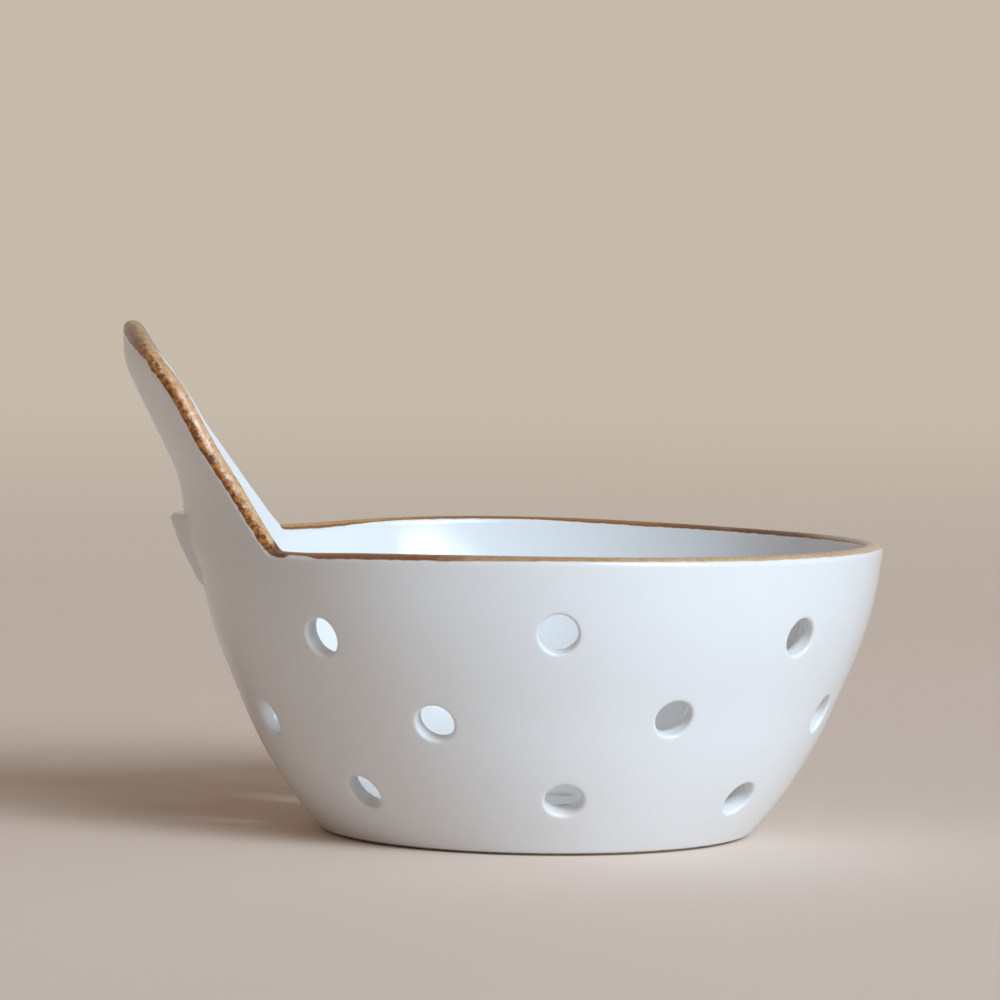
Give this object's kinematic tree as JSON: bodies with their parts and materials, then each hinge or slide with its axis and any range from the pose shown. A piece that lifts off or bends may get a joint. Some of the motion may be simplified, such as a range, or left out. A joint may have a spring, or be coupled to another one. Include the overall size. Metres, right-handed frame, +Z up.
{
  "type": "berry colander bowl",
  "caption": "Footed ceramic bowl with staggered rows of drain holes, a broad upright handle flared out of the rim, and a rounded brown lip all round.",
  "frame": {"origin": "centre of the foot ring on the table, on the bowl's axis", "axes": "+Z up along the bowl's axis, -X towards the handle, -Y towards the picture's viewer"},
  "size_m": [0.177, 0.1596, 0.1174],
  "materials": {
    "white_glaze": "glossy, warm off-white",
    "brown_glaze": "glossy, mottled iron brown that breaks to tan",
    "bare_clay": "unglazed, matte"
  },
  "bodies": {
    "root": {"bowl_wall": "white_glaze", "bowl_floor": "white_glaze", "foot_ring": "bare_clay", "handle": "white_glaze", "finger_rest": "white_glaze", "rim_band": "brown_glaze", "handle_band": "brown_glaze"}
  },
  "joints": []
}
